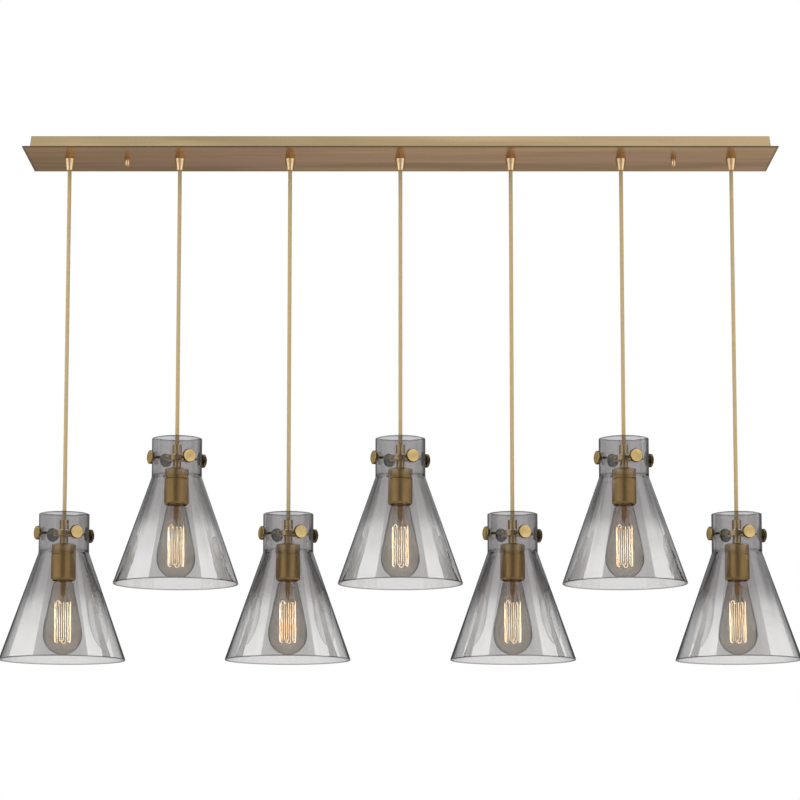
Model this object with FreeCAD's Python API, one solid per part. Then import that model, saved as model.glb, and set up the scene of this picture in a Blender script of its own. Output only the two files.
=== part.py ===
import FreeCAD, Part

import math
import os

# Linear pendant light: one long brass canopy that carries a staggered row of smoked glass cone shades,
# each hung on its own cord. Millimetres, Z up, X along the row, -Y to the front.
# The origin is on the ceiling, over the middle of the canopy.

# Row of pendants
PENDANT_COUNT = 7
SHADE_GAP = 21.25           # level gap between neighbouring shades
CORD_DROP = 457.2           # cord showing between grip and collar on a high pendant
STAGGER = 123.0             # extra cord on each low pendant
HEAD_TURN = 25.0            # degrees that the middle head is turned about its cord
HEAD_TURN_STEP = 2.3        # degrees less from each head to the next along the row
FRONT = -90.0               # degrees from X to the front

# Canopy
CANOPY_WIDTH = 160.0
CANOPY_HEIGHT = 21.5        # ceiling to the underside of the plate
CANOPY_END = 68.0           # last cord to the end of the plate
PLATE_THICK = 2.0
PLATE_OVERHANG = 11.0       # plate past the foot of the wall, all round
PLATE_EDGE_SHARE = 0.2      # rounding of the plate's edges, as a share of its thickness
WALL_THICK = 1.5
WALL_DRAFT = 2.0            # lean of the wall from its foot to the ceiling

# Ceiling strap inside the canopy
STRAP_WIDTH = 25.0
STRAP_THICK = 2.0
STRAP_END = 30.0            # strap past each stud
BOX_SLOT_SPACING = 88.9     # outlet box screws
BOX_SLOT_LENGTH = 22.0
BOX_SLOT_WIDTH = 5.2
CEILING_HOLE_INSET = 48.5   # from each stud to the ceiling screw hole beside it
CEILING_HOLE_D = 5.5
EARTH_SCREW_OFFSET = 25.0   # from a box slot's middle to the earth screw
EARTH_SCREW_D = 4.0
EARTH_HEAD_D = 8.0
EARTH_HEAD_THICK = 2.4

# Studs and nuts that hold the canopy to the strap
STUD_D = 4.2
STUD_INSET = 94.5           # from the last cord to the stud
STUD_NUT_WALL = 1.9         # from the thread to a flat
STUD_NUT_THICK = 3.2
THUMB_NUT_WALL = 2.7
THUMB_NUT_HEIGHT = 11.5
THUMB_NUT_ROUND = 1.0
THUMB_NUT_FLOOR = 3.0       # metal left under the blind thread

# Cord grips in the plate
GRIP_HEIGHT = 18.8
GRIP_WALL = 1.8             # round the cord, at the tip and in the thread
GRIP_TAPER = 3.5            # growth in radius from the tip to the plate
GRIP_THREAD_SPARE = 1.0     # thread past the lock nut
GRIP_NUT_WALL = 2.0         # from the thread to a flat
GRIP_NUT_THICK = 4.0

# Cords and wiring
CORD_D = 6.4
CORD_SEAT = 12.0            # depth of the cord in the collar
SWING_DROP = 1.0            # from the grip's tip to the point where the cord bends
LEAD_D = 3.0                # bundle of wires inside the canopy
LEAD_BEND = 5.0
LEAD_OVER = 2.5             # gap from the grips' threads up to the leads
BLOCK_LENGTH = 60.0         # terminal block
BLOCK_HEIGHT = 12.0
BLOCK_MARGIN_SHARE = 0.55   # block past the outer leads, as a share of the space from lead to lead
BLOCK_POLES = 3
BLOCK_SCREW_D = 4.0
BLOCK_SCREW_DEPTH = 3.0

# Hub under the cord, with its collar and the bosses for the thumb screws
COLLAR_WALL = 3.7
COLLAR_HEIGHT = 17.4
FLARE = 3.0                 # rounding from collar to disc
DISC_RIM = 10.7             # disc past the collar
DISC_COVER = 0.9            # disc over and under the bosses
BOSS_WALL = 1.1
BOSS_LENGTH = 0.8           # boss past the disc
TAP_DEPTH = 6.0
SPIGOT_SHOULDER = 1.65      # spigot past its thread
SPIGOT_HEIGHT = 12.9
SPIGOT_THREAD_WALL = 2.35
SPIGOT_THREAD_LENGTH = 9.5

# Thumb screws that hold the shade
SCREW_COUNT = 4
SCREW_D = 4.2
SHOULDER_D = 9.0
SHOULDER_LENGTH = 3.4
KNOB_D = 22.2
KNOB_THICK = 5.0
KNOB_ROUND = 0.8

# Smoked glass shade
NECK_D = 81.0
NECK_HEIGHT = 63.5
MOUTH_D = 203.0             # before the rim is rounded
CONE_HEIGHT = 173.5
GLASS = 3.0
NECK_ROUND = 5.0            # rounding where the neck turns into the cone
RIM_SHARE = 0.4             # rounding of the rims, as a share of the glass
SCREW_LEVEL = 33.5          # from the top rim to the screw holes
SCREW_HOLE_CLEARANCE = 0.8

# Lamp socket cover
CUP_MARGIN = 6.7            # cup past the bulb's base
CAP_STEP = 0.5              # cup past the cap
CAP_HEIGHT = 12.0
CAP_ROUND = 3.0
CAP_FLANGE = 3.0
CAP_GROOVE = 0.8            # chamfers where the cap meets the cup
CAP_SKIRT = 6.0
CUP_HEIGHT = 40.5
CUP_TURN_IN = 2.5           # chamfer at the cup's mouth
SHEET = 1.2                 # spun brass

# Lamp holder inside the cover
HOLDER_CLEARANCE = 0.3      # inside the cap
HOLDER_RISE = 6.0           # holder's lower edge over the cup's mouth
SHELL_SHEET = 0.5
CONTACT_D = 8.0
CONTACT_THICK = 1.5
FEED_WIRE_D = 1.8
FEED_WIRE_GAP = 0.8         # between the two wires
FEED_WIRE_CLEARANCE = 0.3

# Bulb, with a medium screw base
BASE_D = 26.4
BASE_LENGTH = 24.0
BASE_SHEET = 0.4
BASE_TIP_D = 9.0
BASE_TIP_LENGTH = 3.0
BULB_D = 63.0
BULB_LENGTH = 117.0         # glass below the base
BULB_NECK_D = 32.0
BULB_SHOULDER = 5.0         # height of the shoulder under the base
BULB_SIDE_RADIUS = 90.0     # swell of the side above the round end
BULB_GLASS = 0.8
NECK_TUCK = 8.0             # glass inside the base
STEM_D = 8.0
STEM_LENGTH = 26.0
STEM_FLARE = 10.0
ROD_D = 2.0
CAGE_D = 28.0               # ring of filament runs
CAGE_TOP = 33.5             # below the base
CAGE_END = 17.5             # above the bulb's tip
CAGE_RUNS = 12
WIRE_D = 0.8
HOOK_D = 0.7

# Clearances
FIT = 0.1                   # screwed and seated pieces
CORD_CLEARANCE = 0.4        # cord in a bore
SEAL_CLEARANCE = 0.2        # glass and wire inside the bulb
SAME = 1e-4                 # two lengths count as equal

CONE_LEAN = math.atan2((MOUTH_D - NECK_D) / 2, CONE_HEIGHT)
PITCH = MOUTH_D - STAGGER * math.tan(CONE_LEAN) + SHADE_GAP
ROW_HALF = PITCH * (PENDANT_COUNT - 1) / 2
CANOPY_LENGTH = 2 * (ROW_HALF + CANOPY_END)
PLATE_TOP = PLATE_THICK - CANOPY_HEIGHT
STUD_X = ROW_HALF - STUD_INSET
CEILING_HOLE_X = STUD_X - CEILING_HOLE_INSET
GRIP_TIP = -CANOPY_HEIGHT - GRIP_HEIGHT
SWING_Z = GRIP_TIP - SWING_DROP
CORD_BORE_D = CORD_D + 2 * CORD_CLEARANCE
GRIP_TIP_D = CORD_BORE_D + 2 * GRIP_WALL
GRIP_TOP_D = GRIP_TIP_D + 2 * GRIP_TAPER
GRIP_THREAD_D = CORD_BORE_D + 2 * GRIP_WALL
GRIP_THREAD_TOP = PLATE_TOP + GRIP_NUT_THICK + GRIP_THREAD_SPARE
LEAD_LEVEL = GRIP_THREAD_TOP + LEAD_OVER + LEAD_D / 2
LANE_COUNT = PENDANT_COUNT // 2
WIRING_WIDTH = CANOPY_WIDTH / 2 - PLATE_OVERHANG - WALL_DRAFT - WALL_THICK - STRAP_WIDTH / 2
LANE_STEP = WIRING_WIDTH / (LANE_COUNT + 1)
BLOCK_MARGIN = BLOCK_MARGIN_SHARE * LANE_STEP

# Widths in a head
COLLAR_D = CORD_BORE_D + 2 * COLLAR_WALL
DISC_D = COLLAR_D + 2 * DISC_RIM
BOSS_D = SCREW_D + 2 * BOSS_WALL
BOSS_REACH = DISC_D / 2 + BOSS_LENGTH
TAP_FLOOR = BOSS_REACH - TAP_DEPTH
FEED_WIRE_OFFSET = (FEED_WIRE_D + FEED_WIRE_GAP) / 2
WIRE_BORE_D = 2 * (FEED_WIRE_OFFSET + FEED_WIRE_D / 2 + FEED_WIRE_CLEARANCE)
SPIGOT_THREAD_D = WIRE_BORE_D + 2 * SPIGOT_THREAD_WALL
SPIGOT_D = SPIGOT_THREAD_D + 2 * SPIGOT_SHOULDER
CUP_D = BASE_D + 2 * CUP_MARGIN
CAP_D = CUP_D - 2 * CAP_STEP
SKIRT_D = CUP_D - 2 * (SHEET + FIT)
CAP_BORE_D = min(CAP_D, SKIRT_D) - 2 * SHEET

# Heights in a head, from the top of its collar
DISC_TOP = -COLLAR_HEIGHT
DISC_HEIGHT = BOSS_D + 2 * DISC_COVER
SCREW_Z = DISC_TOP - DISC_HEIGHT / 2
DISC_FOOT = DISC_TOP - DISC_HEIGHT
CAP_TOP = DISC_FOOT - SPIGOT_HEIGHT
FLANGE_TOP = CAP_TOP - CAP_HEIGHT
CUP_TOP = FLANGE_TOP - CAP_FLANGE
CUP_FOOT = CUP_TOP - CUP_HEIGHT
SHADE_TOP = SCREW_Z + SCREW_LEVEL
BASE_TOP = CUP_FOOT + BASE_LENGTH
CONTACT_FOOT = BASE_TOP + BASE_TIP_LENGTH + SEAL_CLEARANCE
HOLDER_ROOF = CONTACT_FOOT + CONTACT_THICK
CAGE_HEIGHT = BULB_LENGTH - CAGE_TOP - CAGE_END

ORIGIN = FreeCAD.Vector(0, 0, 0)
UP = FreeCAD.Vector(0, 0, 1)
ALONG_Y = FreeCAD.Vector(0, 1, 0)


def at(x, y, z):
    return FreeCAD.Vector(x, y, z)


def turned(start, *steps):
    """Solid of revolution about Z. A step is a (radius, height) corner, or a (through, end) arc."""
    edges = []
    here = at(start[0], 0, start[1])
    for step in steps + (start,):
        curved = isinstance(step[0], tuple)
        end = step[1] if curved else step
        there = at(end[0], 0, end[1])
        if curved:
            through = at(step[0][0], 0, step[0][1])
            edges.append(Part.Arc(here, through, there).toShape())
        elif here.distanceToPoint(there) > SAME:
            edges.append(Part.LineSegment(here, there).toShape())
        here = there
    return Part.Face(Part.Wire(edges)).revolve(ORIGIN, UP, 360)


def rod(diameter, low, high, x=0, y=0):
    return Part.makeCylinder(diameter / 2, high - low, at(x, y, low), UP)


def rings_at(shape, height):
    return [
        edge for edge in shape.Edges
        if isinstance(edge.Curve, Part.Circle) and abs(edge.CenterOfMass.z - height) < SAME
    ]


def hex_nut(thread, wall, thick, low):
    sides = 6
    corner = (thread / 2 + wall) / math.cos(math.pi / sides)
    turns = [2 * math.pi * i / sides for i in range(sides + 1)]
    outline = Part.makePolygon([at(corner * math.cos(t), corner * math.sin(t), low) for t in turns])
    prism = Part.Face(outline).extrude(at(0, 0, thick))
    return prism.cut(rod(thread + 2 * FIT, low, low + thick))


def around(shape, count, first=0):
    """Copies of a shape turned evenly about Z."""
    copies = []
    for i in range(count):
        copy = shape.copy()
        copy.rotate(ORIGIN, UP, first + 360 * i / count)
        copies.append(copy)
    return copies


def moved(shape, x=0, y=0, z=0, turn=0):
    copy = shape.copy()
    copy.rotate(ORIGIN, UP, turn)
    copy.translate(at(x, y, z))
    return copy


def swept(edges, start, direction, diameter):
    """Round tube along a path, checked against its section times its length."""
    path = Part.Wire(edges)
    section = Part.Wire(Part.makeCircle(diameter / 2, start, direction))
    tube = path.makePipeShell([section], True, False)
    expected = math.pi * diameter ** 2 / 4 * path.Length
    print(f"tube {path.Length:.1f} mm long, volume {tube.Volume / expected:.4f} of section times length")
    return tube


def bent_path(points, bend):
    """Straight runs joined by tangent arcs."""
    edges = []
    here = points[0]
    for before, corner, after in zip(points, points[1:], points[2:]):
        back = (before - corner).normalize()
        ahead = (after - corner).normalize()
        half = back.getAngle(ahead) / 2
        setback = bend / math.tan(half)
        first = corner + back * setback
        last = corner + ahead * setback
        middle = (back + ahead).normalize() * (bend / math.sin(half) - bend) + corner
        edges.append(Part.LineSegment(here, first).toShape())
        edges.append(Part.Arc(first, middle, last).toShape())
        here = last
    edges.append(Part.LineSegment(here, points[-1]).toShape())
    return edges


# Canopy

def pendant_places():
    """Each pendant's number, place along the row, and steps from the middle."""
    middle = (PENDANT_COUNT - 1) / 2
    return [(i + 1, (i - middle) * PITCH, i - middle) for i in range(PENDANT_COUNT)]


def make_plate():
    plate = Part.makeBox(CANOPY_LENGTH, CANOPY_WIDTH, PLATE_THICK,
                         at(-CANOPY_LENGTH / 2, -CANOPY_WIDTH / 2, -CANOPY_HEIGHT))
    plate = plate.makeFillet(PLATE_EDGE_SHARE * PLATE_THICK, plate.Edges)
    for _, x, _ in pendant_places():
        plate = plate.cut(rod(GRIP_THREAD_D + 2 * FIT, -CANOPY_HEIGHT, PLATE_TOP, x))
    for x in (-STUD_X, STUD_X):
        plate = plate.cut(rod(STUD_D + 2 * FIT, -CANOPY_HEIGHT, PLATE_TOP, x))
    return plate


def rectangle(length, width, height):
    corners = [(-1, -1), (1, -1), (1, 1), (-1, 1), (-1, -1)]
    return Part.makePolygon([at(sx * length / 2, sy * width / 2, height) for sx, sy in corners])


def make_wall():
    def block(inset):
        foot = 2 * (PLATE_OVERHANG + inset)
        head = foot + 2 * WALL_DRAFT
        return Part.makeLoft([rectangle(CANOPY_LENGTH - foot, CANOPY_WIDTH - foot, PLATE_TOP),
                              rectangle(CANOPY_LENGTH - head, CANOPY_WIDTH - head, 0)], True, True)

    return block(0).cut(block(WALL_THICK))


def make_strap():
    length = 2 * (STUD_X + STRAP_END)
    strap = Part.makeBox(length, STRAP_WIDTH, STRAP_THICK, at(-length / 2, -STRAP_WIDTH / 2, -STRAP_THICK))
    straight = BOX_SLOT_LENGTH - BOX_SLOT_WIDTH
    for side in (-1, 1):
        slot_x = side * BOX_SLOT_SPACING / 2
        slot = Part.makeBox(straight, BOX_SLOT_WIDTH, STRAP_THICK,
                            at(slot_x - straight / 2, -BOX_SLOT_WIDTH / 2, -STRAP_THICK))
        for end in (-1, 1):
            slot = slot.fuse(rod(BOX_SLOT_WIDTH, -STRAP_THICK, 0, slot_x + end * straight / 2))
        strap = strap.cut(slot.removeSplitter())
        strap = strap.cut(rod(CEILING_HOLE_D, -STRAP_THICK, 0, side * CEILING_HOLE_X))
        strap = strap.cut(rod(STUD_D + 2 * FIT, -STRAP_THICK, 0, side * STUD_X))
    return strap.cut(rod(EARTH_SCREW_D + 2 * FIT, -STRAP_THICK, 0, earth_screw_x()))


def earth_screw_x():
    return BOX_SLOT_SPACING / 2 + EARTH_SCREW_OFFSET


def make_earth_screw():
    head = rod(EARTH_HEAD_D, -STRAP_THICK - EARTH_HEAD_THICK, -STRAP_THICK)
    screw = head.fuse(rod(EARTH_SCREW_D, -STRAP_THICK - EARTH_HEAD_THICK, 0)).removeSplitter()
    return moved(screw, earth_screw_x())


def make_thumb_nut():
    top = -CANOPY_HEIGHT
    foot = top - THUMB_NUT_HEIGHT
    nut = rod(STUD_D + 2 * THUMB_NUT_WALL, foot, top)
    nut = nut.makeFillet(THUMB_NUT_ROUND, rings_at(nut, foot))
    return nut.cut(rod(STUD_D + 2 * FIT, foot + THUMB_NUT_FLOOR, top))


def make_stud():
    return rod(STUD_D, -CANOPY_HEIGHT - THUMB_NUT_HEIGHT + THUMB_NUT_FLOOR + FIT, 0)


def make_grip():
    bore_r = CORD_BORE_D / 2
    thread_r = GRIP_THREAD_D / 2
    return turned((bore_r, GRIP_TIP), (GRIP_TIP_D / 2, GRIP_TIP), (GRIP_TOP_D / 2, -CANOPY_HEIGHT),
                  (thread_r, -CANOPY_HEIGHT), (thread_r, GRIP_THREAD_TOP), (bore_r, GRIP_THREAD_TOP))


def lane_y(lane):
    return STRAP_WIDTH / 2 + lane * LANE_STEP


def make_terminal_block():
    near = lane_y(1) - BLOCK_MARGIN
    width = lane_y(LANE_COUNT) + BLOCK_MARGIN - near
    block = Part.makeBox(BLOCK_LENGTH, width, BLOCK_HEIGHT, at(-BLOCK_LENGTH / 2, near, PLATE_TOP))
    roof = PLATE_TOP + BLOCK_HEIGHT
    for pole in range(BLOCK_POLES):
        x = BLOCK_LENGTH * ((pole + 0.5) / BLOCK_POLES - 0.5)
        for y in (near + BLOCK_MARGIN, near + width - BLOCK_MARGIN):
            block = block.cut(rod(BLOCK_SCREW_D, roof - BLOCK_SCREW_DEPTH, roof, x, y))
    return block


def make_lead(x, steps):
    """End of a cord held in its grip, and its wires on to the terminal block."""
    jacket_foot = SWING_Z + CORD_D / 2 + CORD_CLEARANCE
    jacket_top = PLATE_TOP
    points = [at(x, 0, jacket_top), at(x, 0, LEAD_LEVEL)]
    if abs(steps) < SAME:
        points.append(at(x, lane_y(1) - BLOCK_MARGIN, LEAD_LEVEL))
    else:
        lane = lane_y(math.ceil(abs(steps)))
        points.append(at(x, lane, LEAD_LEVEL))
        points.append(at(math.copysign(BLOCK_LENGTH / 2, x), lane, LEAD_LEVEL))
    wires = swept(bent_path(points, LEAD_BEND), points[0], UP, LEAD_D)
    return wires.fuse(rod(CORD_D, jacket_foot, jacket_top, x)).removeSplitter()


# Pendant head, with its origin at the top of the hub's collar

def make_cord(collar_top):
    """Straight cord from the grip to its seat in the collar, with a round upper end where it bends."""
    foot = collar_top - CORD_SEAT + CORD_CLEARANCE
    radius = CORD_D / 2
    crown = (radius * math.sin(math.pi / 4), SWING_Z + radius * math.cos(math.pi / 4))
    return turned((0, foot), (radius, foot), (radius, SWING_Z), (crown, (0, SWING_Z + radius)))


def make_hub():
    collar_r = COLLAR_D / 2
    disc_r = DISC_D / 2
    spigot_r = SPIGOT_D / 2
    thread_r = SPIGOT_THREAD_D / 2
    thread_foot = CAP_TOP - SPIGOT_THREAD_LENGTH
    inward = FLARE * (1 - math.sin(math.pi / 4))
    bend = (collar_r + inward, DISC_TOP + inward)
    hub = turned((0, 0), (collar_r, 0), (collar_r, DISC_TOP + FLARE), (bend, (collar_r + FLARE, DISC_TOP)),
                 (disc_r, DISC_TOP), (disc_r, DISC_FOOT), (spigot_r, DISC_FOOT), (spigot_r, CAP_TOP),
                 (thread_r, CAP_TOP), (thread_r, thread_foot), (0, thread_foot))
    boss = Part.makeCylinder(BOSS_D / 2, BOSS_REACH, at(0, 0, SCREW_Z), at(1, 0, 0))
    hub = hub.fuse(around(boss, SCREW_COUNT)).removeSplitter()
    tapped = Part.makeCylinder(SCREW_D / 2 + FIT, TAP_DEPTH, at(TAP_FLOOR, 0, SCREW_Z), at(1, 0, 0))
    for hole in around(tapped, SCREW_COUNT):
        hub = hub.cut(hole)
    hub = hub.cut(rod(CORD_BORE_D, -CORD_SEAT, 0))
    return hub.cut(rod(WIRE_BORE_D, thread_foot, -CORD_SEAT))


def make_thumb_screw():
    """One thumb screw, pointing out along X."""
    tip = TAP_FLOOR + FIT
    seat = NECK_D / 2 + FIT
    knob_back = seat + SHOULDER_LENGTH
    knob_face = knob_back + KNOB_THICK
    knob_r = KNOB_D / 2
    screw = turned((0, tip), (SCREW_D / 2, tip), (SCREW_D / 2, seat), (SHOULDER_D / 2, seat),
                   (SHOULDER_D / 2, knob_back), (knob_r, knob_back), (knob_r, knob_face), (0, knob_face))
    rims = [edge for height in (knob_back, knob_face) for edge in rings_at(screw, height)
            if abs(edge.Curve.Radius - knob_r) < SAME]
    screw = screw.makeFillet(KNOB_ROUND, rims)
    screw.rotate(ORIGIN, ALONG_Y, 90)
    screw.translate(at(0, 0, SCREW_Z))
    return screw


def make_shade():
    neck_r = NECK_D / 2
    mouth_r = MOUTH_D / 2
    across = GLASS / math.cos(CONE_LEAN)              # wall of the cone, measured level
    turn = SHADE_TOP - NECK_HEIGHT
    inner_turn = turn - (across - GLASS) / math.tan(CONE_LEAN)
    mouth = turn - CONE_HEIGHT
    shade = turned((neck_r - GLASS, SHADE_TOP), (neck_r, SHADE_TOP), (neck_r, turn), (mouth_r, mouth),
                   (mouth_r - across, mouth), (neck_r - GLASS, inner_turn))
    shade = shade.makeFillet(NECK_ROUND, rings_at(shade, turn) + rings_at(shade, inner_turn))
    shade = shade.makeFillet(RIM_SHARE * GLASS, rings_at(shade, SHADE_TOP) + rings_at(shade, mouth))
    hole = Part.makeCylinder(SCREW_D / 2 + SCREW_HOLE_CLEARANCE, NECK_D, at(0, 0, SCREW_Z), at(1, 0, 0))
    for way_in in around(hole, SCREW_COUNT):
        shade = shade.cut(way_in)
    return shade


def make_socket_cap():
    cap_r = CAP_D / 2
    flange_r = CUP_D / 2
    skirt_r = SKIRT_D / 2
    bore_r = SPIGOT_THREAD_D / 2 + FIT
    inside_r = CAP_BORE_D / 2
    skirt_foot = CUP_TOP - CAP_SKIRT
    corner = CAP_ROUND * (1 - math.sin(math.pi / 4))
    return turned((bore_r, CAP_TOP), (cap_r - CAP_ROUND, CAP_TOP),
                  ((cap_r - corner, CAP_TOP - corner), (cap_r, CAP_TOP - CAP_ROUND)),
                  (cap_r, FLANGE_TOP), (flange_r, FLANGE_TOP), (flange_r, CUP_TOP + CAP_GROOVE),
                  (flange_r - CAP_GROOVE, CUP_TOP), (skirt_r, CUP_TOP), (skirt_r, skirt_foot),
                  (inside_r, skirt_foot), (inside_r, CAP_TOP - SHEET - CAP_ROUND),
                  (inside_r - CAP_ROUND, CAP_TOP - SHEET), (bore_r, CAP_TOP - SHEET))


def make_socket_cup():
    outer_r = CUP_D / 2
    inner_r = outer_r - SHEET
    turn = CUP_FOOT + CUP_TURN_IN
    return turned((inner_r, CUP_TOP), (outer_r - CAP_GROOVE, CUP_TOP), (outer_r, CUP_TOP - CAP_GROOVE),
                  (outer_r, turn), (outer_r - CUP_TURN_IN, CUP_FOOT),
                  (outer_r - CUP_TURN_IN - SHEET, CUP_FOOT), (inner_r, turn + FIT))


def make_holder():
    """Insulator, screw shell, centre contact and the two wires that come down from the cord."""
    roof = CAP_TOP - SHEET - FIT
    foot = CUP_FOOT + HOLDER_RISE
    shell_in_r = BASE_D / 2 + SEAL_CLEARANCE
    shell_out_r = shell_in_r + SHELL_SHEET
    body_in_r = shell_out_r + FIT
    body_r = CAP_BORE_D / 2 - HOLDER_CLEARANCE
    thread_foot = CAP_TOP - SPIGOT_THREAD_LENGTH
    body = turned((body_in_r, foot), (body_r, foot), (body_r, roof - CAP_ROUND), (body_r - CAP_ROUND, roof),
                  (0, roof), (0, HOLDER_ROOF), (body_in_r, HOLDER_ROOF))
    body = body.cut(rod(SPIGOT_THREAD_D + 2 * FIT, thread_foot - FIT, roof))
    shell = rod(2 * shell_out_r, foot, HOLDER_ROOF).cut(rod(2 * shell_in_r, foot, HOLDER_ROOF))
    contact = rod(CONTACT_D, CONTACT_FOOT, HOLDER_ROOF)
    wires = [rod(FEED_WIRE_D, thread_foot - FIT, -CORD_SEAT - FIT, side * FEED_WIRE_OFFSET)
             for side in (-1, 1)]
    return Part.Compound([body, shell, contact] + wires)


def bulb_side(inset):
    """Outline from the shoulder down a straight taper, a swell and a round end, set in from the glass."""
    end_r = BULB_D / 2 - inset
    end_z = CUP_FOOT - BULB_LENGTH + BULB_D / 2
    side_r = BULB_SIDE_RADIUS - inset
    centre_r = end_r - side_r
    neck = (BULB_NECK_D / 2 - inset, CUP_FOOT - BULB_SHOULDER)
    over = neck[0] - centre_r
    above = neck[1] - end_z
    lift = math.atan2(above, over) - math.acos(side_r / math.hypot(over, above))
    taper_end, swell = [(centre_r + side_r * math.cos(angle), end_z + side_r * math.sin(angle))
                        for angle in (lift, lift / 2)]
    quarter = end_r * math.sin(math.pi / 4)
    return [neck, taper_end, (swell, (end_r, end_z)), ((quarter, end_z - quarter), (0, end_z - end_r))]


def make_envelope():
    neck_r = BASE_D / 2 - BASE_SHEET - SEAL_CLEARANCE
    top = CUP_FOOT + NECK_TUCK

    def filled(inset):
        return turned((0, top), (neck_r - inset, top), (neck_r - inset, CUP_FOOT), *bulb_side(inset))

    return filled(0).cut(filled(BULB_GLASS))


def make_base():
    outer_r = BASE_D / 2
    inner_r = outer_r - BASE_SHEET
    tip_r = BASE_TIP_D / 2
    tip_top = BASE_TOP + BASE_TIP_LENGTH
    ceiling = BASE_TOP - BASE_SHEET
    return turned((inner_r, CUP_FOOT), (outer_r, CUP_FOOT), (outer_r, BASE_TOP), (tip_r, tip_top),
                  (0, tip_top), (0, ceiling), (inner_r, ceiling))


def cage_run(number):
    angle = 2 * math.pi * number / CAGE_RUNS
    return at(CAGE_D / 2 * math.cos(angle), CAGE_D / 2 * math.sin(angle), 0)


def cage_turn_radius():
    return cage_run(0).distanceToPoint(cage_run(1)) / 2


def make_filament():
    """One wire that runs down and up round a cage, with a half turn at each end of a run."""
    bend = cage_turn_radius()
    top = CUP_FOOT - CAGE_TOP - bend
    foot = top - CAGE_HEIGHT + 2 * bend
    edges = []
    for number in range(CAGE_RUNS):
        downward = number % 2 == 0
        first, last = (top, foot) if downward else (foot, top)
        run = cage_run(number)
        edges.append(Part.LineSegment(run + UP * first, run + UP * last).toShape())
        if number < CAGE_RUNS - 1:
            after = cage_run(number + 1)
            crest = (run + after) / 2 + UP * (last - bend if downward else last + bend)
            edges.append(Part.Arc(run + UP * last, crest, after + UP * last).toShape())
    print(f"filament runs lie {2 * bend - WIRE_D:.2f} mm apart at the least")
    return swept(edges, cage_run(0) + UP * top, UP * -1, WIRE_D)


def make_mount():
    """Glass stem and rod inside the bulb, with the hooks and lead-in wires that carry the filament."""
    neck_r = BASE_D / 2 - BASE_SHEET - 2 * SEAL_CLEARANCE - BULB_GLASS
    stem_r = STEM_D / 2
    top = CUP_FOOT + NECK_TUCK
    stem_foot = CUP_FOOT - STEM_LENGTH
    bend = cage_turn_radius()
    hook_gap = (WIRE_D + HOOK_D) / 2 + SEAL_CLEARANCE
    top_hook = CUP_FOOT - CAGE_TOP - hook_gap
    foot_hook = CUP_FOOT - CAGE_TOP - CAGE_HEIGHT + hook_gap
    mount = turned((0, top), (neck_r, top), (stem_r, top - STEM_FLARE), (stem_r, stem_foot),
                   (ROD_D / 2, stem_foot), (ROD_D / 2, foot_hook - HOOK_D), (0, foot_hook - HOOK_D))
    pieces = []
    for number in range(CAGE_RUNS - 1):
        height = foot_hook if number % 2 == 0 else top_hook
        middle = (cage_run(number) + cage_run(number + 1)) / 2
        reach = middle.Length + HOOK_D
        pieces.append(Part.makeCylinder(HOOK_D / 2, reach, at(0, 0, height), middle))
    for number in (0, CAGE_RUNS - 1):
        end = cage_run(number) + UP * (CUP_FOOT - CAGE_TOP - bend + SEAL_CLEARANCE)
        start = at(0, 0, stem_foot + stem_r)
        reach = start.distanceToPoint(end) - HOOK_D / 2
        pieces.append(Part.makeCylinder(HOOK_D / 2, reach, start, end - start))
    return mount.fuse(pieces).removeSplitter()


def make_nodes():
    nodes = {
        "canopy_plate": make_plate(),
        "canopy_wall": make_wall(),
        "mounting_strap": make_strap(),
        "earth_screw": make_earth_screw(),
        "terminal_block": make_terminal_block(),
    }
    stud_nut = hex_nut(STUD_D, STUD_NUT_WALL, STUD_NUT_THICK, -STRAP_THICK - STUD_NUT_THICK)
    at_studs = {"strap_studs": make_stud(), "stud_nuts": stud_nut, "canopy_thumb_nuts": make_thumb_nut()}
    for name, piece in at_studs.items():
        nodes[name] = Part.Compound([moved(piece, x) for x in (-STUD_X, STUD_X)])
    grip_nut = hex_nut(GRIP_THREAD_D, GRIP_NUT_WALL, GRIP_NUT_THICK, PLATE_TOP)
    for name, piece in {"cord_grips": make_grip(), "grip_nuts": grip_nut}.items():
        nodes[name] = Part.Compound([moved(piece, x) for _, x, _ in pendant_places()])
    nodes["inner_leads"] = Part.Compound([make_lead(x, steps) for _, x, steps in pendant_places()])

    head = {
        "hub": make_hub(),
        "thumb_screws": Part.Compound(around(make_thumb_screw(), SCREW_COUNT)),
        "socket_cover": Part.Compound([make_socket_cap(), make_socket_cup()]),
        "lampholder": make_holder(),
        "bulb": Part.Compound([make_envelope(), make_base(), make_mount(), make_filament()]),
        "shade": make_shade(),
    }
    for number, x, steps in pendant_places():
        low = number % 2 == 1
        collar_top = GRIP_TIP - CORD_DROP - (STAGGER if low else 0)
        nodes[f"cord_{number}"] = moved(make_cord(collar_top), x)
        print(f"cord {number} is {SWING_Z - collar_top + CORD_SEAT - CORD_CLEARANCE:.1f} mm long")
        turn = FRONT + HEAD_TURN - steps * HEAD_TURN_STEP
        for name, piece in head.items():
            nodes[f"{name}_{number}"] = moved(piece, x, 0, collar_top, turn)
    return nodes


os.makedirs("parts", exist_ok=True)
for node, solid in make_nodes().items():
    if not solid.isValid():
        print(f"{node} is not valid")
    solid.exportStep(f"parts/{node}.step")
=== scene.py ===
import bpy
import bmesh
import math
import random
from mathutils import Matrix, Vector


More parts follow.
